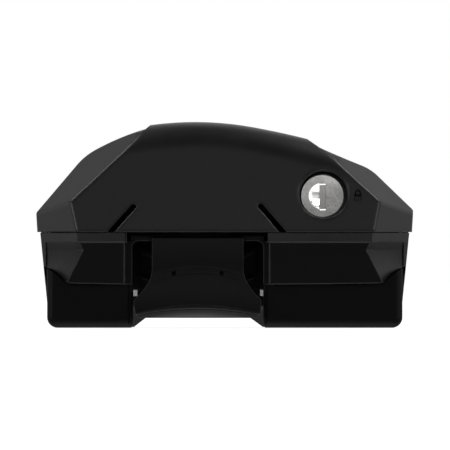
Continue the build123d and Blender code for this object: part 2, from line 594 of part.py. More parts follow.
with BuildPart() as bar_cradle:
    # pedestal: front wall, two long webs and a shorter one
    with BuildSketch(Plane.XY.offset(PLATE_TOP)):
        with Locations((XC, -23.75)):
            Rectangle(58.8, 5.5)
        with Locations((-38.2, 9.0), (16.6, 9.0)):
            Rectangle(4.0, 71.0)
        with Locations((32.0, 19.0)):
            Rectangle(3.6, 51.0)
    extrude(amount=33.0)
    # trough for the bar
    with BuildSketch(Plane.XZ.offset(6)):
        with BuildLine():
            Polyline((-48.0, 62.0), (-48.0, 55.0), (-41.0, 46.6), (31.0, 46.6), (40.0, 55.0),
                     (40.0, 62.0), close=True)
        make_face()
        fillet([v for v in vertices() if v.Y < 60], radius=4.0)
    extrude(amount=-58.5)
    with BuildSketch(Plane.XZ.offset(3)):
        with BuildLine():
            w1 = Line((-30.0, 51.0 - BAR_GAP), (20.0, 51.0 - BAR_GAP))
            w2 = TangentArc(w1 @ 1, (36.0 + BAR_GAP, 60.5), tangent=w1 % 1)
            w3 = TangentArc(w1 @ 0, (-44.0 - BAR_GAP, 60.0), tangent=(w1 % 0) * -1)
            Polyline(w2 @ 1, (36.0 + BAR_GAP, 70.0), (-44.0 - BAR_GAP, 70.0), w3 @ 1)
        make_face()
    extrude(amount=-60, mode=Mode.SUBTRACT)
    # boss that carries the tension nut
    with BuildSketch(Plane.XY.offset(36.0)):
        with Locations((XC, -19.5)):
            Rectangle(25.0, 14.0)
    extrude(amount=18.0)
    # feet on the base plate
    with BuildSketch(Plane.XY.offset(PLATE_TOP)):
        for x, y in CRADLE_SCREWS:
            with Locations((x, y)):
                Circle(6.4)
            with Locations(((x + (-38.2 if x < 0 else 33.0)) / 2, y)):
                Rectangle(abs(x - (-38.2 if x < 0 else 33.0)), 12.8)
        with Locations((25.0, -10.0)):
            Rectangle(17.0, 12.8)
    extrude(amount=4.5)
    with BuildSketch(Plane.XY.offset(PLATE_TOP)):
        with Locations(*CRADLE_SCREWS):
            Circle(5.2)
    extrude(amount=12.0)
    # bores
    with BuildSketch(Plane.XY.offset(10.0)):
        with Locations(*CRADLE_SCREWS):
            Circle(3.05)
    extrude(amount=15.5, mode=Mode.SUBTRACT)
    with BuildSketch(Plane.XZ.offset(30)):
        with Locations((XC, SCREW_Z)):
            Circle(SCREW_R + 0.6)
    extrude(amount=-20, mode=Mode.SUBTRACT)
    with BuildSketch(Plane.XY.offset(SCREW_Z - 6.65)):
        with Locations((XC, (NUT_Y[0] + NUT_Y[1]) / 2)):
            Rectangle(13.3, NUT_Y[1] - NUT_Y[0] + 0.3)
    extrude(amount=20, mode=Mode.SUBTRACT)
    with BuildSketch(Plane.XY.offset(40)):
        with Locations((XC, 3.0), (XC, 17.0)):
            Circle(3.3)
    extrude(amount=14, mode=Mode.SUBTRACT)
    with BuildSketch(Plane.XZ.offset(30)):
        with Locations((7.5, 43.0), (14.0, 43.0)):
            Circle(2.05)
    extrude(amount=-8.2, mode=Mode.SUBTRACT)

bar_cradle.part.label = "bar_cradle"
export_step(bar_cradle.part, "parts/bar_cradle.step")

# ------------------------------------------------- clamp plate and its screws
with BuildPart() as bar_clamp_plate:
    with BuildSketch(Plane.XY.offset(53.0)):
        with Locations((XC, 10.0)):
            RectangleRounded(22, 24, 2)
        with Locations((XC, 3.0), (XC, 17.0)):
            Circle(3.05, mode=Mode.SUBTRACT)
    extrude(amount=3.5)
    chamfer(bar_clamp_plate.edges().group_by(Axis.Z)[-1], length=0.5)

bar_clamp_plate.part.label = "bar_clamp_plate"
export_step(bar_clamp_plate.part, "parts/bar_clamp_plate.step")

for index, y in enumerate((3.0, 17.0)):
    with BuildPart() as bar_clamp_screw:
        with BuildSketch(Plane.XY.offset(40.6)):
            with Locations((XC, y)):
                Circle(5.0)
        extrude(amount=6.0)
        chamfer(bar_clamp_screw.edges().group_by(Axis.Z)[0], length=0.6)
        with BuildSketch(Plane.XY.offset(46.6)):
            with Locations((XC, y)):
                Circle(3.0)
        extrude(amount=11.0)
        chamfer(bar_clamp_screw.edges().group_by(Axis.Z)[-1], length=0.6)
        with BuildSketch(Plane.XY.offset(40.6)):
            with Locations((XC, y)):
                RegularPolygon(2.5, 6, major_radius=False)
        extrude(amount=3.2, mode=Mode.SUBTRACT)
    name = "bar_clamp_screw_" + str(index + 1)
    bar_clamp_screw.part.label = name
    export_step(bar_clamp_screw.part, "parts/" + name + ".step")

# ------------------------------------------------ screws under the base plate
for index, (x, y) in enumerate(CRADLE_SCREWS):
    with BuildPart() as cradle_screw:
        with BuildSketch(Plane.XY.offset(9.3)):
            with Locations((x, y)):
                Circle(5.0)
        extrude(amount=PAD_TOP - 9.3)
        chamfer(cradle_screw.edges().group_by(Axis.Z)[0], length=0.5)
        with BuildSketch(Plane.XY.offset(PAD_TOP)):
            with Locations((x, y)):
                Circle(3.0)
        extrude(amount=12.0)
        with BuildSketch(Plane.XY.offset(9.3)):
            with Locations((x, y)):
                RegularPolygon(2.0, 6, major_radius=False)
        extrude(amount=2.2, mode=Mode.SUBTRACT)
    name = "cradle_screw_" + str(index + 1)
    cradle_screw.part.label = name
    export_step(cradle_screw.part, "parts/" + name + ".step")

for index, (x, y) in enumerate(HOUSING_SCREWS):
    with BuildPart() as housing_screw:
        with BuildSketch(Plane.XY.offset(10.2)):
            with Locations((x, y)):
                Circle(3.6)
        extrude(amount=PAD_TOP - 10.2)
        chamfer(housing_screw.edges().group_by(Axis.Z)[0], length=0.7)
        with BuildSketch(Plane.XY.offset(PAD_TOP)):
            with Locations((x, y)):
                Circle(1.8)
        extrude(amount=14.0)
        with BuildSketch(Plane.XY.offset(10.2)):
            with Locations((x, y)):
                Rectangle(0.8, 4.2)
                Rectangle(4.2, 0.8)
        extrude(amount=1.4, mode=Mode.SUBTRACT)
    name = "housing_screw_" + str(index + 1)
    housing_screw.part.label = name
    export_step(housing_screw.part, "parts/" + name + ".step")

# ----------------------------------------------------------------- hinge pins
for name, side in (("hinge_pin_left", -1), ("hinge_pin_right", 1)):
    with BuildPart() as hinge_pin:
        with BuildSketch(Plane.YZ.offset(side * 51.5)):
            with Locations((HINGE_Y, HINGE_Z)):
                Circle(PIN_R)
        extrude(amount=side * 9.6)
        chamfer(hinge_pin.edges().filter_by(GeomType.CIRCLE), length=0.4)
    hinge_pin.part.label = name
    export_step(hinge_pin.part, "parts/" + name + ".step")

# -------------------------------------------------------------- clamp bracket
RISE_Z = 24.5            # lower end of the upright part in the middle
RIDGE_Z, RIDGE_Y = 9.05, -51.2
LIP_Z = 3.95
BRACKET_CUTS = (-27.0, -22.0, -17.6, -13.2, -8.8, -4.4, 0.0, 4.4, 8.8, 13.2, 17.6, 22.0, 27.0)
HALF_OUTLINE = [(18.25, 33.0), (18.25, 24.0), (18.4, 21.8), (19.2, 19.0), (21.3, 15.7), (23.2, 13.3),
                (24.6, 12.1), (25.4, 10.8), (25.4, 8.4), (24.6, 4.9), (23.9, LIP_Z)]


def bracket_front(u):
    """Front of the bracket's lower part at the distance u from its middle, downwards:
    upright, shallow bend, flare, bead and the lip that runs back under it."""
    za = RISE_Z - 2.7 * (u / 17) ** 2
    zb = za - 3.2
    zr = RIDGE_Z - 2.05 * (u / 19.2) ** 2
    h = 1.6 - 0.45 * (u / 19.2) ** 2
    y0, y1 = CLAMP_Y - 0.3, RIDGE_Y + 0.5
    flare = [(y0 + (y1 - y0) * f ** 1.5, zb + (zr - zb) * f) for f in (0.25, 0.5, 0.75, 0.9)]
    bead = [(RIDGE_Y + dy, zr - f * h) for dy, f in
            ((0.5, 0.0), (0.16, 0.1), (0.0, 0.38), (0.12, 0.68), (0.6, 0.92), (1.15, 1.0))]
    zl = zr - h
    lip = [(RIDGE_Y + 1.0, zl - 0.25), (RIDGE_Y + 1.75, zl - 1.6), (RIDGE_Y + 2.75, zl - 2.9),
           (RIDGE_Y + 2.75 + 1.1 * (zl - 2.9 + 2.0), -2.0)]
    return [(CLAMP_Y, 33.0), (CLAMP_Y, za), (y0, zb)] + flare + bead + lip


def bracket_back(u):
    """Back of the bracket's lower part, upwards, about one sheet thickness behind."""
    za = RISE_Z - 2.7 * (u / 17) ** 2
    zb = za - 3.2
    zr = RIDGE_Z - 2.05 * (u / 19.2) ** 2
    zl = zr - 1.6 + 0.45 * (u / 19.2) ** 2
    y0, y1 = CLAMP_Y - 0.3, RIDGE_Y + 0.5
    t = STEEL_T
    flare = [(y0 + (y1 - y0) * f ** 1.5 + t, zb + (zr - zb) * f + 0.3) for f in (0.75, 0.5, 0.25)]
    return [(RIDGE_Y + 2.75 + 1.1 * (zl - 0.9) + 1.4 * t, -2.0), (RIDGE_Y + 1.75 + 1.15 * t, zl - 0.6),
            (RIDGE_Y + 0.9 + t, zr + 0.3)] + flare + [
            (y0 + t, zb + 0.1), (CLAMP_Y + t, za + 0.1), (CLAMP_Y + t, 33.0)]


with BuildPart() as bracket_low:
    for u in BRACKET_CUTS:
        with BuildSketch(Plane.YZ.offset(XC + u)):
            with BuildLine():
                Polyline(*bracket_front(u), *bracket_back(u), close=True)
            make_face()
    loft(ruled=True)

with BuildPart() as clamp_bracket:
    add(bracket_low.part)
    with BuildSketch(Plane.XZ.offset(60)):
        with BuildLine():
            Polyline(*[(XC + w, z) for w, z in HALF_OUTLINE],
                     *[(XC - w, z) for w, z in reversed(HALF_OUTLINE)], close=True)
        make_face()
    extrude(amount=-30, mode=Mode.INTERSECT)
    # upper bend, arm and lug
    with BuildSketch(Plane.YZ.offset(XC - 18.25)):
        with BuildLine():
            Polyline((CLAMP_Y, 32.9), (CLAMP_Y, 36.7), (LUG_Y + STEEL_T, 36.7), (LUG_Y + STEEL_T, 34.3),
                     (CLAMP_Y + STEEL_T, 34.3), (CLAMP_Y + STEEL_T, 32.9), close=True)
        make_face()
    extrude(amount=36.5)
    fillet([e for e in clamp_bracket.edges() if abs(e.tangent_at(0.5).X) > 0.99
            and abs(e.center().Z - 34.3) < 0.01 and abs(e.center().Y - CLAMP_Y - STEEL_T) < 0.01],
           radius=1.4)
    fillet([e for e in clamp_bracket.edges() if abs(e.tangent_at(0.5).X) > 0.99
            and abs(e.center().Z - 36.7) < 0.01 and abs(e.center().Y - CLAMP_Y) < 0.01],
           radius=1.2)
    with BuildSketch(Plane.XZ.offset(-LUG_Y)):
        with Locations((XC, 43.5)):
            RectangleRounded(26, 19.0, 6)
        with Locations((XC, 38.0)):
            Rectangle(26, 7.4)
    extrude(amount=-STEEL_T)
    with BuildSketch(Plane.XZ.offset(60)):
        with Locations((XC, SCREW_Z)):
            Circle(SCREW_R + 0.06)
        with Locations((XC - 9.5, 21.8), (XC + 9.5, 21.8)):
            Circle(0.9)
    extrude(amount=-40, mode=Mode.SUBTRACT)

clamp_bracket.part.label = "clamp_bracket"
export_step(clamp_bracket.part, "parts/clamp_bracket.step")

# rubber liner on the inside of the bracket
with BuildPart() as liner_gap:
    for u in BRACKET_CUTS:
        with BuildSketch(Plane.YZ.offset(XC + u)):
            with BuildLine():
                Polyline((-70.0, 33.0), *[(y + 0.02, z) for y, z in reversed(bracket_back(u))],
                         (-70.0, -2.0), close=True)
            make_face()
    loft(ruled=True)

with BuildPart() as hook_liner:
    with BuildSketch(Plane.XZ.offset(52)):
        with Locations((XC, 18.5)):
            RectangleRounded(33, 17, 3)
        with Locations((XC - 9.5, 21.8), (XC + 9.5, 21.8)):
            Circle(0.9, mode=Mode.SUBTRACT)
    extrude(amount=-8.4)
    add(liner_gap.part, mode=Mode.SUBTRACT)

hook_liner.part.label = "hook_liner"
export_step(hook_liner.part, "parts/hook_liner.step")

# --------------------------------------------- torque screw, washer, ring, nut
RING_Y = -34.35
with BuildPart() as torque_screw:
    with BuildSketch(Plane.XZ.offset(46.8)):
        with Locations((XC, SCREW_Z)):
            Circle(6.5)
    extrude(amount=-8.2)
    chamfer(torque_screw.edges().filter_by(GeomType.CIRCLE).group_by(Axis.Y)[0], length=0.7)
    with BuildSketch(Plane.XZ.offset(38.6)):
        with Locations((XC, SCREW_Z)):
            Circle(SCREW_R)
    extrude(amount=-25.4)
    chamfer(torque_screw.edges().filter_by(GeomType.CIRCLE).group_by(Axis.Y)[-1], length=0.8)
    with BuildSketch(Plane.XZ.offset(46.8)):
        with Locations((XC, SCREW_Z)):
            RegularPolygon(3.0, 6, major_radius=False)
    extrude(amount=-4.5, mode=Mode.SUBTRACT)
    with BuildSketch(Plane.XZ.offset(-RING_Y)):
        with Locations((XC, SCREW_Z)):
            Circle(SCREW_R + 1)
            Circle(SCREW_R - 0.5, mode=Mode.SUBTRACT)
    extrude(amount=-1.2, mode=Mode.SUBTRACT)

torque_screw.part.label = "torque_screw"
export_step(torque_screw.part, "parts/torque_screw.step")

with BuildPart() as thrust_washer:
    with BuildSketch(Plane.XZ.offset(38.6)):
        with Locations((XC, SCREW_Z)):
            Circle(6.6)
            Circle(SCREW_R + 0.03, mode=Mode.SUBTRACT)
    extrude(amount=-1.55)

thrust_washer.part.label = "thrust_washer"
export_step(thrust_washer.part, "parts/thrust_washer.step")

with BuildPart() as retaining_ring:
    with BuildSketch(Plane.XZ.offset(-RING_Y - 0.1)):
        with Locations((XC, SCREW_Z)):
            Circle(6.2)
            Circle(SCREW_R - 0.45, mode=Mode.SUBTRACT)
        with Locations((XC, SCREW_Z - 5)):
            Rectangle(4.6, 10, mode=Mode.SUBTRACT)
    extrude(amount=-1.0)

retaining_ring.part.label = "retaining_ring"
export_step(retaining_ring.part, "parts/retaining_ring.step")

with BuildPart() as tension_nut:
    with BuildSketch(Plane.XZ.offset(-NUT_Y[0])):
        with Locations((XC, SCREW_Z)):
            Rectangle(13.0, 13.0)
            Circle(SCREW_R + 0.05, mode=Mode.SUBTRACT)
    extrude(amount=-(NUT_Y[1] - NUT_Y[0]))

tension_nut.part.label = "tension_nut"
export_step(tension_nut.part, "parts/tension_nut.step")

# ----------------------------------------------------------------------- lock
CORE_END = 23.0          # rear end of the core's round part, depth from the face
CAM_IN, CAM_OUT = 23.3, 25.8

with BuildPart() as lock_sleeve:
    with BuildSketch(lock_plane(9.0)):
        Circle(11.65)
        Circle(CORE_R + 0.05, mode=Mode.SUBTRACT)
    extrude(amount=13.2)
    # groove for the clip
    with BuildSketch(lock_plane(16.05)):
        Circle(13.0)
        Circle(10.7, mode=Mode.SUBTRACT)
    extrude(amount=1.3, mode=Mode.SUBTRACT)

lock_sleeve.part.label = "lock_sleeve"
export_step(lock_sleeve.part, "parts/lock_sleeve.step")

with BuildPart() as lock_sleeve_clip:
    with BuildSketch(lock_plane(16.1)):
        Circle(14.4)
        Circle(10.75, mode=Mode.SUBTRACT)
        with Locations((0, -10)):
            Rectangle(21.5, 20, mode=Mode.SUBTRACT)
    extrude(amount=1.2)

lock_sleeve_clip.part.label = "lock_sleeve_clip"
export_step(lock_sleeve_clip.part, "parts/lock_sleeve_clip.step")

with BuildPart() as lock_core:
    with BuildSketch(lock_plane(LOCK_IN)):
        Circle(CORE_R)
    extrude(amount=CORE_END - LOCK_IN)
    chamfer(lock_core.edges().filter_by(GeomType.CIRCLE).group_by(Axis.Y)[0], length=0.4)
    # square tail for the cam
    with BuildSketch(lock_plane(CORE_END)):
        Rectangle(7.0, 7.0)
    extrude(amount=CAM_OUT - CORE_END - 0.1)
    # keyway and the dished half-moon beside it
    with BuildSketch(lock_plane(LOCK_IN - 1)):
        with Locations((0.14, 0.4)):
            Rectangle(2.3, 9.8)
    extrude(amount=13.0, mode=Mode.SUBTRACT)
    chamfer([e for e in lock_core.edges() if abs(e.tangent_at(0.5).X) > 0.99 and abs(e.length - 2.3) < 0.01
             and abs((e.center() - LOCK_FACE).dot(LOCK_DIR) - LOCK_IN) < 0.01], length=0.58, length2=0.33,
            reference=[f for f in lock_core.faces() if abs((f.center() - LOCK_FACE).dot(LOCK_DIR) - LOCK_IN) < 0.01][0])
    with BuildPart(mode=Mode.PRIVATE) as dish:
        with Locations(lock_plane(LOCK_IN - 10.67).location):
            Sphere(12.0)
        split(bisect_by=Plane(origin=(LOCK_X - 1.12, 0, 0), x_dir=(0, 1, 0), z_dir=(1, 0, 0)),
              keep=Keep.BOTTOM)
    add(dish.part, mode=Mode.SUBTRACT)
    with BuildSketch(lock_plane(19.0)):
        Circle(2.05)
    extrude(amount=10.0, mode=Mode.SUBTRACT)

# dust shutter that closes the keyway just behind the face
with BuildPart() as lock_shutter:
    with BuildSketch(lock_plane(LOCK_IN + 0.25)):
        with Locations((0.14, 0.4)):
            Rectangle(2.2, 9.7)
    extrude(amount=1.4)

lock_shutter.part.label = "lock_shutter"
export_step(lock_shutter.part, "parts/lock_shutter.step")

lock_core.part.label = "lock_core"
export_step(lock_core.part, "parts/lock_core.step")

with BuildPart() as lock_cam:
    with BuildSketch(lock_plane(CAM_IN)):
        Circle(6.8)
        with Locations((0, 8.5)):
            SlotOverall(23.4, 6.8, rotation=90)
        Rectangle(7.1, 7.1, mode=Mode.SUBTRACT)
    extrude(amount=CAM_OUT - CAM_IN)

lock_cam.part.label = "lock_cam"
export_step(lock_cam.part, "parts/lock_cam.step")

with BuildPart() as cam_screw:
    with BuildSketch(lock_plane(CAM_OUT + 0.02)):
        Circle(5.4)
    extrude(amount=2.2)
    chamfer(cam_screw.edges().filter_by(GeomType.CIRCLE).group_by(Axis.Y)[-1], length=0.6)
    with BuildSketch(lock_plane(19.4)):
        Circle(2.0)
    extrude(amount=CAM_OUT - 19.4 + 0.5)
    with BuildSketch(lock_plane(CAM_OUT + 1.0)):
        Rectangle(0.9, 5.4)
        Rectangle(5.4, 0.9)
    extrude(amount=3.0, mode=Mode.SUBTRACT)

cam_screw.part.label = "cam_screw"
export_step(cam_screw.part, "parts/cam_screw.step")

# steel keeper for the cam, on the cradle's front wall
KEEPER_Y = -26.5
with BuildPart() as lock_keeper:
    with BuildSketch(Plane.XZ.offset(-KEEPER_Y + 2.2)):
        with Locations((10.75, 46.9)):
            Rectangle(13.5, 17.0)
        with Locations((15.25, 54.3)):
            Rectangle(22.5, 2.2)
        with Locations((7.5, 43.0), (14.0, 43.0)):
            Circle(2.1, mode=Mode.SUBTRACT)
    extrude(amount=-2.2)
    with BuildSketch(Plane.XY.offset(53.2)):
        with Locations((22.0, -24.0)):
            RectangleRounded(9.0, 9.4, 1.0)
    extrude(amount=2.2)

lock_keeper.part.label = "lock_keeper"
export_step(lock_keeper.part, "parts/lock_keeper.step")

for name, x in (("keeper_screw_left", 7.5), ("keeper_screw_right", 14.0)):
    with BuildPart() as keeper_screw:
        with BuildSketch(Plane.XZ.offset(-KEEPER_Y + 4.4)):
            with Locations((x, 43.0)):
                Circle(3.1)
        extrude(amount=-2.2)
        chamfer(keeper_screw.edges().filter_by(GeomType.CIRCLE).group_by(Axis.Y)[0], length=0.5)
        with BuildSketch(Plane.XZ.offset(-KEEPER_Y + 2.2)):
            with Locations((x, 43.0)):
                Circle(2.0)
        extrude(amount=-6.4)
        with BuildSketch(Plane.XZ.offset(-KEEPER_Y + 4.4)):
            with Locations((x, 43.0)):
                Rectangle(0.8, 3.6)
                Rectangle(3.6, 0.8)
        extrude(amount=-1.1, mode=Mode.SUBTRACT)
    keeper_screw.part.label = name
    export_step(keeper_screw.part, "parts/" + name + ".step")
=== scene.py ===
import json
import math

import bpy
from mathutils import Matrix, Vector

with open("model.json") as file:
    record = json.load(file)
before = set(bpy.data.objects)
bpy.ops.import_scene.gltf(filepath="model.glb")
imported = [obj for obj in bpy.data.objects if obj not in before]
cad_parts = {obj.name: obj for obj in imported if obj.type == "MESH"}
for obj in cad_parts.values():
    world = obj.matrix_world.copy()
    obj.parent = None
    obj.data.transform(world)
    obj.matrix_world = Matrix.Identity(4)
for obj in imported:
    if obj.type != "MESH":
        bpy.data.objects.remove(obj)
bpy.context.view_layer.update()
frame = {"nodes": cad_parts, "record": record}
nodes = frame["nodes"]
scene = bpy.context.scene

# ---------------------------------------------------------------- materials
def material(name):
    mat = bpy.data.materials.new(name)
    mat.use_nodes = True
    tree = mat.node_tree
    tree.nodes.clear()
    out = tree.nodes.new("ShaderNodeOutputMaterial")
    bsdf = tree.nodes.new("ShaderNodeBsdfPrincipled")
    tree.links.new(bsdf.outputs["BSDF"], out.inputs["Surface"])
    coord = tree.nodes.new("ShaderNodeTexCoord")
    return mat, tree, bsdf, coord.outputs["Object"]


def noise(tree, vec, scale, detail=2.0, rough=0.5, distortion=0.0):
    n = tree.nodes.new("ShaderNodeTexNoise")
    n.inputs["Scale"].default_value = scale
    n.inputs["Detail"].default_value = detail
    n.inputs["Roughness"].default_value = rough
    n.inputs["Distortion"].default_value = distortion
    tree.links.new(vec, n.inputs["Vector"])
    return n.outputs["Fac"]


def voronoi(tree, vec, scale, feature="F1"):
    n = tree.nodes.new("ShaderNodeTexVoronoi")
    n.feature = feature
    n.inputs["Scale"].default_value = scale
    tree.links.new(vec, n.inputs["Vector"])
    return n.outputs["Distance"]


def ramp(tree, fac, stops):
    r = tree.nodes.new("ShaderNodeValToRGB")
    while len(r.color_ramp.elements) < len(stops):
        r.color_ramp.elements.new(0.5)
    for e, (p, c) in zip(r.color_ramp.elements, stops):
        e.position = p
        e.color = (*c, 1.0) if len(c) == 3 else c
    tree.links.new(fac, r.inputs["Fac"])
    return r.outputs["Color"]


def spread(tree, fac, low, high, a=0.25, b=0.75):
    m = tree.nodes.new("ShaderNodeMapRange")
    m.inputs["From Min"].default_value = a
    m.inputs["From Max"].default_value = b
    m.inputs["To Min"].default_value = low
    m.inputs["To Max"].default_value = high
    tree.links.new(fac, m.inputs["Value"])
    return m.outputs["Result"]


def math_node(tree, op, a, b):
    m = tree.nodes.new("ShaderNodeMath")
    m.operation = op
    for i, v in enumerate((a, b)):
        if isinstance(v, (int, float)):
            m.inputs[i].default_value = v
        else:
            tree.links.new(v, m.inputs[i])
    return m.outputs["Value"]


def stretch(tree, vec, scale):
    m = tree.nodes.new("ShaderNodeMapping")
    m.inputs["Scale"].default_value = scale
    tree.links.new(vec, m.inputs["Vector"])
    return m.outputs["Vector"]


def bump(tree, bsdf, height, strength, distance, chain=None):
    b = tree.nodes.new("ShaderNodeBump")
    b.inputs["Strength"].default_value = strength
    b.inputs["Distance"].default_value = distance
    tree.links.new(height, b.inputs["Height"])
    if chain is not None:
        tree.links.new(chain, b.inputs["Normal"])
    tree.links.new(b.outputs["Normal"], bsdf.inputs["Normal"])
    return b.outputs["Normal"]


def edge_wear_and_highlight(tree, obj, colour, tone, radius, where=None, start=0.004, full=0.06):
    """Blend colour to tone along edges: partly wear, where handling polishes them, and partly a painted highlight
    along the edges.

    where = list of (axis, low, high, amount below, amount above); the largest counts."""
    bev = tree.nodes.new("ShaderNodeBevel")
    bev.samples = 6
    bev.inputs["Radius"].default_value = radius
    geo = tree.nodes.new("ShaderNodeNewGeometry")
    dot = tree.nodes.new("ShaderNodeVectorMath")
    dot.operation = "DOT_PRODUCT"
    tree.links.new(bev.outputs["Normal"], dot.inputs[0])
    tree.links.new(geo.outputs["Normal"], dot.inputs[1])
    turn = math_node(tree, "SUBTRACT", 1.0, dot.outputs["Value"])
    wear_and_highlight = spread(tree, turn, 0, 1, start, full)
    patch = spread(tree, noise(tree, obj, 260, 3, 0.6), 0.7, 1.0, 0.35, 0.6)
    wear_and_highlight = math_node(tree, "MULTIPLY", wear_and_highlight, patch)
    if where:
        xyz = tree.nodes.new("ShaderNodeSeparateXYZ")
        tree.links.new(obj, xyz.inputs["Vector"])
        reach = None
        for axis, lo, hi, left, right in where:
            far = spread(tree, xyz.outputs[axis], left, right, lo, hi)
            reach = far if reach is None else math_node(tree, "MAXIMUM", reach, far)
        wear_and_highlight = math_node(tree, "MULTIPLY", wear_and_highlight, reach)
    mix = tree.nodes.new("ShaderNodeMix")
    mix.data_type = "RGBA"
    pair = [i for i in mix.inputs if i.type == "RGBA"]
    tree.links.new(wear_and_highlight, mix.inputs[0])
    tree.links.new(colour, pair[0])
    pair[1].default_value = (*tone, 1.0)
    return next(o for o in mix.outputs if o.type == "RGBA")


def moulded(name, base, rough, grain=3200, relief=0.35, vary=0.16, spec=0.5, band=None, wear_and_highlight=None, shaded_hollows=(), between=None, soft=0.0):
    """Moulded plastic: eroded grain, faint flow mottling in colour and gloss.

    band = (height, from x, to x, colour, roughness) gives the part above a height its own
    finish, except between the two x. engraved = list of (point, direction, half width,
    half height, colour): painted shade that fills what lies past a point in a direction, near the
    point, darker inside the slots and the recessed pictogram. between = (from x, to x, amount of
    shine, colour) is painted shade between the two x, a darker colour and less shine in the recess
    between the legs. soft = radius of the moulded edges."""
    mat, tree, bsdf, obj = material(name)
    cloud = noise(tree, obj, 46, 4, 0.6)
    fine = noise(tree, obj, grain, 3, 0.62)
    cells = voronoi(tree, obj, grain * 0.55)
    dark = tuple(c * (1 - vary) for c in base)
    light = tuple(c * (1 + vary) for c in base)
    colour = ramp(tree, cloud, [(0.3, dark), (0.7, light)])
    level = spread(tree, cloud, rough - 0.03, rough + 0.03)
    if band:
        at, x_lo, x_hi, tone, matt = band
        xyz = tree.nodes.new("ShaderNodeSeparateXYZ")
        tree.links.new(obj, xyz.inputs["Vector"])
        above = spread(tree, xyz.outputs["Z"], 0, 1, at - 0.0002, at + 0.0002)
        left = spread(tree, xyz.outputs["X"], 1, 0, x_lo - 0.0001, x_lo + 0.0001)
        right = spread(tree, xyz.outputs["X"], 0, 1, x_hi - 0.0001, x_hi + 0.0001)
        beside = math_node(tree, "ADD", left, right)
        above = math_node(tree, "MULTIPLY", above, beside)
        above = math_node(tree, "MULTIPLY", above, spread(tree, xyz.outputs["Z"], 1, 0, 0.0382, 0.0384))
        upper = ramp(tree, cloud, [(0.3, tuple(c * (1 - vary) for c in tone)), (0.7, tuple(c * (1 + vary) for c in tone))])
        mix = tree.nodes.new("ShaderNodeMix")
        mix.data_type = "RGBA"
        pair = [i for i in mix.inputs if i.type == "RGBA"]
        tree.links.new(above, mix.inputs[0])
        tree.links.new(colour, pair[0])
        tree.links.new(upper, pair[1])
        colour = next(o for o in mix.outputs if o.type == "RGBA")
        level = math_node(tree, "ADD", level, math_node(tree, "MULTIPLY", above, matt - rough))
        deep = spread(tree, xyz.outputs["Y"], 0, 0.3, -0.0478, -0.0465)
        level = math_node(tree, "ADD", level, math_node(tree, "MULTIPLY", deep, math_node(tree, "SUBTRACT", 1.0, beside)))
    # painted shade: a darker colour and less shine between the two x, in the recess between the legs
    if between:
        x_lo, x_hi, low, tone = between
        span = tree.nodes.new("ShaderNodeSeparateXYZ")
        tree.links.new(obj, span.inputs["Vector"])
        inner = math_node(tree, "MULTIPLY", spread(tree, span.outputs["X"], 0, 1, x_lo - 0.0001, x_lo + 0.0001),
                          spread(tree, span.outputs["X"], 1, 0, x_hi - 0.0001, x_hi + 0.0001))
        recess_shade_mix = tree.nodes.new("ShaderNodeMix")
        recess_shade_mix.data_type = "RGBA"
        pair = [i for i in recess_shade_mix.inputs if i.type == "RGBA"]
        tree.links.new(inner, recess_shade_mix.inputs[0])
        tree.links.new(colour, pair[0])
        pair[1].default_value = (*tone, 1.0)
        colour = next(o for o in recess_shade_mix.outputs if o.type == "RGBA")
    # lighter edges: partly wear, partly a painted highlight
    if wear_and_highlight:
        colour = edge_wear_and_highlight(tree, obj, colour, *wear_and_highlight)
    sunk = None
    # painted shade: what lies past each point is coloured darker, inside the slots and the recessed pictogram
    for point, way, wide, high, tone in shaded_hollows:
        off = tree.nodes.new("ShaderNodeVectorMath")
        off.operation = "SUBTRACT"
        off.inputs[1].default_value = point
        tree.links.new(obj, off.inputs[0])
        dot = tree.nodes.new("ShaderNodeVectorMath")
        dot.operation = "DOT_PRODUCT"
        dot.inputs[1].default_value = way
        tree.links.new(off.outputs["Vector"], dot.inputs[0])
        apart = tree.nodes.new("ShaderNodeSeparateXYZ")
        tree.links.new(off.outputs["Vector"], apart.inputs["Vector"])
        fill = spread(tree, dot.outputs["Value"], 0, 1, 0.0001, 0.0006)
        for axis, reach in (("X", wide), ("Z", high)):
            near = spread(tree, math_node(tree, "ABSOLUTE", apart.outputs[axis], 0.0), 1, 0, reach - 0.0001, reach)
            fill = math_node(tree, "MULTIPLY", fill, near)
        shade_mix = tree.nodes.new("ShaderNodeMix")
        shade_mix.data_type = "RGBA"
        pair = [i for i in shade_mix.inputs if i.type == "RGBA"]
        tree.links.new(fill, shade_mix.inputs[0])
        tree.links.new(colour, pair[0])
        pair[1].default_value = (*tone, 1.0)
        colour = next(o for o in shade_mix.outputs if o.type == "RGBA")
        level = math_node(tree, "ADD", level, math_node(tree, "MULTIPLY", fill, 0.4))
        sunk = fill if sunk is None else math_node(tree, "MAXIMUM", sunk, fill)
    tree.links.new(colour, bsdf.inputs["Base Color"])
    gloss = math_node(tree, "ADD", level, spread(tree, fine, -0.05, 0.05))
    tree.links.new(gloss, bsdf.inputs["Roughness"])
    bsdf.inputs["Specular IOR Level"].default_value = spec
    shine = spread(tree, inner, spec, between[2], 0, 1) if between else spec
    if sunk is not None:
        shine = math_node(tree, "MULTIPLY", shine, spread(tree, sunk, 1, 0.04, 0, 1))
    if between or sunk is not None:
        tree.links.new(shine, bsdf.inputs["Specular IOR Level"])
    height = math_node(tree, "ADD", fine, math_node(tree, "MULTIPLY", cells, 0.5))
    edge = None
    if soft:
        rounded = tree.nodes.new("ShaderNodeBevel")
        rounded.samples = 8
        rounded.inputs["Radius"].default_value = soft
        edge = rounded.outputs["Normal"]
    bump(tree, bsdf, height, relief, 0.00006, edge)
    return mat


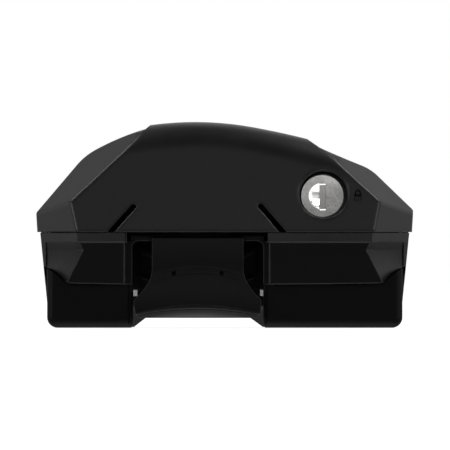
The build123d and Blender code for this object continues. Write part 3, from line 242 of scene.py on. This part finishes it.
def rubber(name, base, rough, relief=0.2, spec=0.5, painted_light_band=None):
    """Smooth rubber: faint bloom, slight waviness; dusty = (from y, to y, colour) is a part painted lighter between
    the two y, a painted light.
    """
    mat, tree, bsdf, obj = material(name)
    cloud = noise(tree, obj, 32, 5, 0.62)
    fine = noise(tree, obj, 1800, 2, 0.5)
    wave = noise(tree, obj, 60, 2, 0.5)
    dark = tuple(c * 0.85 for c in base)
    light = tuple(c * 1.2 for c in base)
    colour = ramp(tree, cloud, [(0.35, dark), (0.72, light)])
    # painted light: a lighter colour between the two y
    if painted_light_band:
        xyz = tree.nodes.new("ShaderNodeSeparateXYZ")
        tree.links.new(obj, xyz.inputs["Vector"])
        blend = tree.nodes.new("ShaderNodeMix")
        blend.data_type = "RGBA"
        pair = [i for i in blend.inputs if i.type == "RGBA"]
        lo, hi = painted_light_band[:2]
        painted_light_mask = math_node(tree, "MULTIPLY", spread(tree, xyz.outputs["Y"], 0, 1, lo, lo + 0.001),
                         spread(tree, xyz.outputs["Y"], 1, 0, hi - 0.001, hi))
        tree.links.new(painted_light_mask, blend.inputs[0])
        tree.links.new(colour, pair[0])
        pair[1].default_value = (*painted_light_band[2], 1.0)
        colour = next(o for o in blend.outputs if o.type == "RGBA")
    tree.links.new(colour, bsdf.inputs["Base Color"])
    tree.links.new(spread(tree, cloud, rough - 0.04, rough + 0.06), bsdf.inputs["Roughness"])
    bsdf.inputs["Specular IOR Level"].default_value = spec
    first = bump(tree, bsdf, wave, 0.1, 0.0002)
    bump(tree, bsdf, fine, relief, 0.00003, first)
    return mat


def coated(name, base, rough, spec=0.5, wear_and_highlight=None, pressed=None):
    """Powder-coated steel: fine orange peel and a faint mottling of tone.

    pressed = (middle x, half length, low z, high z, bow, rise, roll from z, to z, drop) is a shallow
    arched rib and a plate that rolls back towards its top."""
    mat, tree, bsdf, obj = material(name)
    peel = noise(tree, obj, 1500, 2, 0.5)
    cloud = noise(tree, obj, 55, 3, 0.5)
    colour = ramp(tree, cloud, [(0.3, tuple(c * 0.85 for c in base)), (0.75, tuple(c * 1.2 for c in base))])
    # lighter edges: partly wear, partly a painted highlight
    if wear_and_highlight:
        colour = edge_wear_and_highlight(tree, obj, colour, *wear_and_highlight)
    tree.links.new(colour, bsdf.inputs["Base Color"])
    tree.links.new(spread(tree, cloud, rough - 0.04, rough + 0.05), bsdf.inputs["Roughness"])
    bsdf.inputs["Specular IOR Level"].default_value = spec
    first = None
    if pressed:
        mid, reach, low, high, bow, rise, roll_lo, roll_hi, drop = pressed
        xyz = tree.nodes.new("ShaderNodeSeparateXYZ")
        tree.links.new(obj, xyz.inputs["Vector"])
        along = math_node(tree, "ABSOLUTE", math_node(tree, "SUBTRACT", xyz.outputs["X"], mid), 0.0)
        arch = math_node(tree, "ADD", xyz.outputs["Z"], math_node(tree, "MULTIPLY", math_node(tree, "MULTIPLY", along, along), bow))
        rib = math_node(tree, "MULTIPLY", spread(tree, arch, 0, rise, low - 0.0002, low + 0.0002),
                        spread(tree, arch, 1, 0, high - 0.0002, high + 0.0002))
        rib = math_node(tree, "MULTIPLY", rib, spread(tree, along, 1, 0, reach - 0.003, reach))
        roll = spread(tree, xyz.outputs["Z"], 0, 1, roll_lo, roll_hi)
        shape = math_node(tree, "SUBTRACT", rib, math_node(tree, "MULTIPLY", math_node(tree, "MULTIPLY", roll, roll), drop))
        first = bump(tree, bsdf, shape, 1.0, 1.0)
    bump(tree, bsdf, peel, 0.25, 0.00005, first)
    return mat


def metal(name, base, rough, streak=(1, 1, 1), relief=0.12, grain=900, vary=0.12, spots=0.0, polished_lit_hollow=None, tight=0.2):
    """Bare or plated metal: brushed or blasted surface, uneven gloss, optional pits.

    hollow = (point, direction, roughness, colour) polishes what lies past a point in a direction, and paints it much
    lighter as a painted highlight."""
    mat, tree, bsdf, obj = material(name)
    lay = stretch(tree, obj, streak)
    fine = noise(tree, lay, grain, 4, 0.65)
    cloud = noise(tree, obj, 90, 4, 0.6)
    mix = math_node(tree, "ADD", math_node(tree, "MULTIPLY", fine, 0.5), math_node(tree, "MULTIPLY", cloud, 0.5))
    colour = ramp(tree, mix, [(0.5 - tight, tuple(c * (1 - vary) for c in base)),
                              (0.5 + tight, tuple(min(1, c * (1 + vary)) for c in base))])
    level = spread(tree, mix, rough - 0.08, rough + 0.1)
    # polished, and painted much lighter: a painted highlight
    if polished_lit_hollow:
        point, way, polish, painted_lit_colour = polished_lit_hollow
        off = tree.nodes.new("ShaderNodeVectorMath")
        off.operation = "SUBTRACT"
        off.inputs[1].default_value = point
        tree.links.new(obj, off.inputs[0])
        dot = tree.nodes.new("ShaderNodeVectorMath")
        dot.operation = "DOT_PRODUCT"
        dot.inputs[1].default_value = way
        tree.links.new(off.outputs["Vector"], dot.inputs[0])
        inside = spread(tree, dot.outputs["Value"], 0, 1, 0.00005, 0.0002)
        level = math_node(tree, "ADD", level, math_node(tree, "MULTIPLY", inside, polish - rough))
        blend = tree.nodes.new("ShaderNodeMix")
        blend.data_type = "RGBA"
        pair = [i for i in blend.inputs if i.type == "RGBA"]
        tree.links.new(inside, blend.inputs[0])
        tree.links.new(colour, pair[0])
        pair[1].default_value = (*painted_lit_colour, 1.0)
        colour = next(o for o in blend.outputs if o.type == "RGBA")
    tree.links.new(colour, bsdf.inputs["Base Color"])
    tree.links.new(level, bsdf.inputs["Roughness"])
    bsdf.inputs["Metallic"].default_value = 1.0
    height = fine
    if spots:
        pits = voronoi(tree, obj, 1500)
        height = math_node(tree, "ADD", fine, math_node(tree, "MULTIPLY", spread(tree, pits, 0, 1, 0.0, 0.35), spots))
    bump(tree, bsdf, height, relief, 0.00005)
    return mat


# centre of the lock core's face and the way into it
LEAN = math.radians(9.0)
LOCK_WAY = (0.0, math.cos(LEAN), -math.sin(LEAN))
LOCK_POINT = (0.0389, -0.0525 + 0.0149 * math.tan(LEAN) + 0.003 * math.cos(LEAN), 0.0531 - 0.003 * math.sin(LEAN))
# middle of the pictogram beside the lock, on the cover's face
SIGN_POINT = (0.0389 + 0.0141, LOCK_POINT[1] - 0.003 * math.cos(LEAN), 0.0531)
# middles of the two slanted slots, on the cover's face
SLOT_LEFT = (-0.0412, SIGN_POINT[1] - 0.0098 * math.tan(LEAN), 0.0433)
SLOT_RIGHT = (0.0192, SIGN_POINT[1] - 0.0098 * math.tan(LEAN), 0.0433)

MATS = {
    "cover_plastic": moulded("cover_plastic", (0.024, 0.024, 0.0251), 0.37, 3000, 0.35, spec=0.45, soft=0.0022,
                             # painted shade inside the recessed pictogram and the two slots
                             shaded_hollows=[(SIGN_POINT, LOCK_WAY, 0.0019, 0.0028, (0.009, 0.009, 0.0094)),
                                       (SLOT_LEFT, LOCK_WAY, 0.0068, 0.0062, (0.0015, 0.0015, 0.0016)),
                                       (SLOT_RIGHT, LOCK_WAY, 0.0068, 0.0062, (0.0015, 0.0015, 0.0016))]),
    # housing front edges lighter: partly wear, partly a painted highlight
    "housing_plastic": moulded("housing_plastic", (0.004, 0.004, 0.0042), 0.4, 3600, 0.2, spec=0.28, soft=0.0011, wear_and_highlight=((0.16, 0.16, 0.163), 0.0004, [("Y", -0.0475, -0.0465, 1, 0)]), band=(0.0341, -0.0389, 0.0165, (0.053, 0.053, 0.055), 0.5),
                               # painted shade, a darker colour, in the recess between the legs
                               between=(-0.0398, 0.0174, 0.22, (0.0035, 0.0035, 0.0036)),
                               # painted shade, near black, inside the two slots
                               shaded_hollows=[(SLOT_LEFT, LOCK_WAY, 0.0068, 0.005, (0.0012, 0.0012, 0.0013)),
                                         (SLOT_RIGHT, LOCK_WAY, 0.0068, 0.005, (0.0012, 0.0012, 0.0013))]),
    # a lighter band on the pad's rear lip: painted light from below
    "pad_rubber": rubber("pad_rubber", (0.0078, 0.0078, 0.0081), 0.5, spec=0.12, painted_light_band=(0.0205, 0.0245, (0.2, 0.2, 0.202))),
    "liner_rubber": rubber("liner_rubber", (0.003, 0.003, 0.0031), 0.6, spec=0.1),
    # bracket edges lighter: partly wear, partly a painted highlight
    "coated_steel": coated("coated_steel", (0.0038, 0.0038, 0.004), 0.34, spec=0.25,
                           pressed=(-0.0106, 0.0195, 0.0216, 0.0245, 10.0, 0.00004, 0.0265, 0.0365, 0.00058), wear_and_highlight=((0.09, 0.09, 0.092), 0.0006, [("X", -0.027, -0.026, 1, 0), ("X", 0.0044, 0.0054, 0, 1),
                           ("Z", 0.012, 0.014, 1, 0), ("Z", 0.034, 0.035, 0, 1)])),
    "zinc_steel": metal("zinc_steel", (0.9, 0.89, 0.87), 0.58, (1, 14, 14), grain=420),
    "plated_steel": metal("plated_steel", (0.58, 0.57, 0.54), 0.32, (1, 6, 6), grain=500),
    "screw_steel": metal("screw_steel", (0.52, 0.52, 0.52), 0.3, (1, 1, 1), grain=1200),
    "spring_steel": metal("spring_steel", (0.16, 0.16, 0.17), 0.38, (1, 1, 1), grain=900),
    "pin_steel": metal("pin_steel", (0.62, 0.62, 0.62), 0.22, (12, 1, 1), grain=400),
    "coated_casting": coated("coated_casting", (0.006, 0.006, 0.0065), 0.5),
    "shutter_steel": metal("shutter_steel", (0.2, 0.199, 0.195), 0.38, (1, 1, 1), grain=1500),
    "dark_zinc": coated("dark_zinc", (0.006, 0.006, 0.0065), 0.4),
    # the dish in the lock core: polished, and painted much lighter as a painted highlight
    "lock_metal": metal("lock_metal", (0.235, 0.233, 0.228), 0.34, (1, 1, 1), relief=0.16, grain=1300, vary=0.2, spots=0.5, tight=0.08,
                        polished_lit_hollow=(LOCK_POINT, LOCK_WAY, 0.16, (0.86, 0.855, 0.84))),
}

for sub in frame["record"]["subparts"]:
    o = nodes[sub["node"]]
    o.data.materials.clear()
    o.data.materials.append(MATS[sub["material_slot"]])

# small rounded edges, so that they catch the light as real ones do
EDGE = {"front_cover": 0.0006, "base_housing": 0.00028, "foot_pad": 0.0009, "clamp_bracket": 0.00035,
        "bar_cradle": 0.0004, "base_plate": 0.0002, "lock_sleeve": 0.0002,
        "bar_clamp_plate": 0.0003, "lock_keeper": 0.0002, "lock_cam": 0.0002, "tension_nut": 0.0002,
        "torque_screw": 0.00015, "lock_shutter": 0.00008}
for name, width in EDGE.items():
    o = nodes[name]
    weld = o.modifiers.new("weld", "WELD")
    weld.merge_threshold = 0.000004
    bev = o.modifiers.new("edges", "BEVEL")
    bev.width = width
    bev.segments = 2
    bev.limit_method = "ANGLE"
    bev.angle_limit = math.radians(28)
    bev.use_clamp_overlap = True
    bev.harden_normals = False
    wn = o.modifiers.new("normals", "WEIGHTED_NORMAL")
    wn.keep_sharp = False

# ---------------------------------------------------------------- stage
floor_mesh = bpy.data.meshes.new("floor")
floor_mesh.from_pydata([(-6, -6, 0), (6, -6, 0), (6, 6, 0), (-6, 6, 0)], [], [(0, 1, 2, 3)])
floor = bpy.data.objects.new("floor", floor_mesh)
scene.collection.objects.link(floor)
fmat, ftree, fbsdf, fobj = material("floor")
fcloud = noise(ftree, fobj, 3, 3, 0.5)
ftree.links.new(ramp(ftree, fcloud, [(0.3, (0.9, 0.9, 0.9)), (0.7, (0.93, 0.93, 0.93))]), fbsdf.inputs["Base Color"])
fbsdf.inputs["Roughness"].default_value = 0.9
fbsdf.inputs["Specular IOR Level"].default_value = 0.0
fbsdf.inputs["Emission Color"].default_value = (1, 1, 1, 1)
fbsdf.inputs["Emission Strength"].default_value = 0.9
floor.data.materials.append(fmat)
floor.location.z = -0.0002
# the floor is a backdrop for the camera; the studio round the object lights it
floor.visible_glossy = False
floor.visible_diffuse = False
floor.visible_shadow = False

world = bpy.data.worlds.new("studio")
scene.world = world
world.use_nodes = True
wt = world.node_tree
wt.nodes.clear()
w_out = wt.nodes.new("ShaderNodeOutputWorld")
w_path = wt.nodes.new("ShaderNodeLightPath")
w_dir = wt.nodes.new("ShaderNodeTexCoord")
w_xyz = wt.nodes.new("ShaderNodeSeparateXYZ")
wt.links.new(w_dir.outputs["Generated"], w_xyz.inputs["Vector"])


def w_map(sock, lo, hi, to_lo=0.0, to_hi=1.0):
    m = wt.nodes.new("ShaderNodeMapRange")
    m.inputs["From Min"].default_value = lo
    m.inputs["From Max"].default_value = hi
    m.inputs["To Min"].default_value = to_lo
    m.inputs["To Max"].default_value = to_hi
    wt.links.new(sock, m.inputs["Value"])
    return m.outputs["Result"]


def w_height(stops):
    """Brightness by height, from straight down (-1) to straight up (1)."""
    r = wt.nodes.new("ShaderNodeValToRGB")
    while len(r.color_ramp.elements) < len(stops):
        r.color_ramp.elements.new(0.5)
    for e, (z, v) in zip(r.color_ramp.elements, stops):
        e.position = (z + 1) / 2
        e.color = (v, v, v, 1)
    wt.links.new(w_map(w_xyz.outputs["Z"], -1.0, 1.0), r.inputs["Fac"])
    return r.outputs["Color"]


def w_blend(fac, one, two, how="MIX"):
    m = wt.nodes.new("ShaderNodeMix")
    m.data_type = "RGBA"
    m.blend_type = how
    pair = [i for i in m.inputs if i.type == "RGBA"]
    for sock, v in zip(pair, (one, two)):
        if isinstance(v, tuple):
            sock.default_value = v
        else:
            wt.links.new(v, sock)
    if isinstance(fac, float):
        m.inputs[0].default_value = fac
    else:
        wt.links.new(fac, m.inputs[0])
    return next(o for o in m.outputs if o.type == "RGBA")


# the studio on the camera's side and behind the object
FRONT = [(-1, 0.55), (-0.7, 0.24), (-0.4, 0.12), (0, 0.11), (0.12, 0.3), (0.3, 0.74), (0.43, 0.16), (0.7, 0.03), (1, 0.06)]
BACK = [(-1, 0.62), (-0.5, 0.3), (0, 0.25), (0.34, 0.235), (0.59, 0.24), (0.79, 0.3), (0.9, 0.25), (1, 0.13)]
SIDE = [(-1, 0.62), (-0.5, 0.42), (-0.12, 0.36), (0.02, 0.52), (0.12, 0.56), (0.34, 0.38), (0.59, 0.36), (0.79, 0.4), (1, 0.13)]
STRIP = [(-1, 0.62), (-0.5, 0.6), (0, 0.75), (0.34, 0.85), (0.59, 0.8), (0.79, 0.6), (0.87, 0.4), (0.96, 0.18), (1, 0.12)]
w_abs = wt.nodes.new("ShaderNodeMath")
w_abs.operation = "ABSOLUTE"
wt.links.new(w_xyz.outputs["X"], w_abs.inputs[0])
behind = w_blend(w_map(w_abs.outputs["Value"], 0.08, 0.2), w_height(STRIP), w_height(BACK))
behind = w_blend(w_map(w_abs.outputs["Value"], 0.38, 0.6), behind, w_height(SIDE))
studio = w_blend(w_map(w_xyz.outputs["Y"], -0.3, 0.5), w_height(FRONT), behind)
side = w_blend(w_map(w_xyz.outputs["X"], -0.3, 0.3), (0.8, 0.8, 0.8, 1), (1.25, 1.25, 1.25, 1))
side = w_blend(w_map(w_xyz.outputs["Z"], 0.0, 0.3), (1.0, 1.0, 1.0, 1), side)
studio = w_blend(1.0, studio, side, "MULTIPLY")
studio = w_blend(w_path.outputs["Is Camera Ray"], studio, (1.0, 1.0, 1.0, 1))
w_bg = wt.nodes.new("ShaderNodeBackground")
wt.links.new(studio, w_bg.inputs["Color"])
w_bg.inputs["Strength"].default_value = 1.0
wt.links.new(w_bg.outputs["Background"], w_out.inputs["Surface"])


def softbox(name, loc, target, size, power):
    light = bpy.data.lights.new(name, "AREA")
    light.shape = "RECTANGLE"
    light.size, light.size_y = size
    light.energy = power
    o = bpy.data.objects.new(name, light)
    scene.collection.objects.link(o)
    o.location = loc
    o.rotation_euler = (Vector(target) - Vector(loc)).to_track_quat("-Z", "Y").to_euler()
    return o


# small lights that show only as highlights along rounded edges
for name, loc, size, power in (("edge_left", (-0.57, 0.05, 0.85), (0.36, 0.36), 2.6),
                               ("edge_right", (0.57, 0.05, 0.85), (0.36, 0.36), 3.2),
                               ("corner_left", (-0.875, -0.52, 0.07), (0.14, 0.3), 1.6),
                               ("corner_right", (0.875, -0.52, 0.07), (0.14, 0.3), 1.2),
                               ("edge_below", (0.0, -0.2, -0.9), (0.5, 0.16), 1.0)):
    lamp = softbox(name, loc, (0, -0.04, 0.04), size, power)
    lamp.visible_diffuse = False

# light that only the lock's metal receives
def group(name, members):
    c = bpy.data.collections.new(name)
    scene.collection.children.link(c)
    for m in members:
        c.objects.link(nodes[m])
    return c


lock_metal_set = group("lock_metal_set", ("lock_core", "lock_shutter"))
LOCK_AT = Vector((0.0389, -0.047, 0.0531))
for name, away, size, power in (("lock_below", (0.03, -0.24, -0.178), (0.5, 0.45), 1.05),
                                ("lock_above", (0.006, -0.0458, 0.0386), (0.06, 0.024), 0.0185),
                                ("lock_top", (0.06, 0.015, 0.3), (0.3, 0.34), 1.0),
                                ("lock_right", (0.26, -0.13, 0.0), (0.2, 0.35), 0.45)):
    lamp = softbox(name, LOCK_AT + Vector(away), LOCK_AT, size, power)
    lamp.light_linking.receiver_collection = lock_metal_set
    lamp.light_linking.blocker_collection = lock_metal_set
    lamp.visible_camera = False

# light for the underside of the bracket's lip
bracket_set = group("bracket_set", ("clamp_bracket",))
lamp = softbox("lip_below", (0.0, -0.2, -0.9), (0, -0.04, 0.04), (0.5, 0.16), 1.9)
lamp.light_linking.receiver_collection = bracket_set
lamp.visible_diffuse = False

# light for the edge of the plate between the legs
plate_set = group("plate_set", ("base_plate",))
lamp = softbox("plate_front", (0.0, -0.35, 0.3), (0, -0.04, 0.02), (0.3, 0.2), 0.56)
lamp.light_linking.receiver_collection = plate_set
lamp.light_linking.blocker_collection = plate_set
lamp.visible_camera = False

cam = bpy.data.cameras.new("camera")
cam.sensor_width = 36.0
cam.lens = 1605.0
cam.clip_end = 40
cam_ob = bpy.data.objects.new("camera", cam)
scene.collection.objects.link(cam_ob)
cam_ob.location = (0.00009, -8.05, 0.04103)
cam_ob.rotation_euler = (math.radians(90), 0, 0)
scene.camera = cam_ob
scene.view_settings.view_transform = "Standard"
scene.view_settings.look = "None"
scene.view_settings.exposure = 0.0
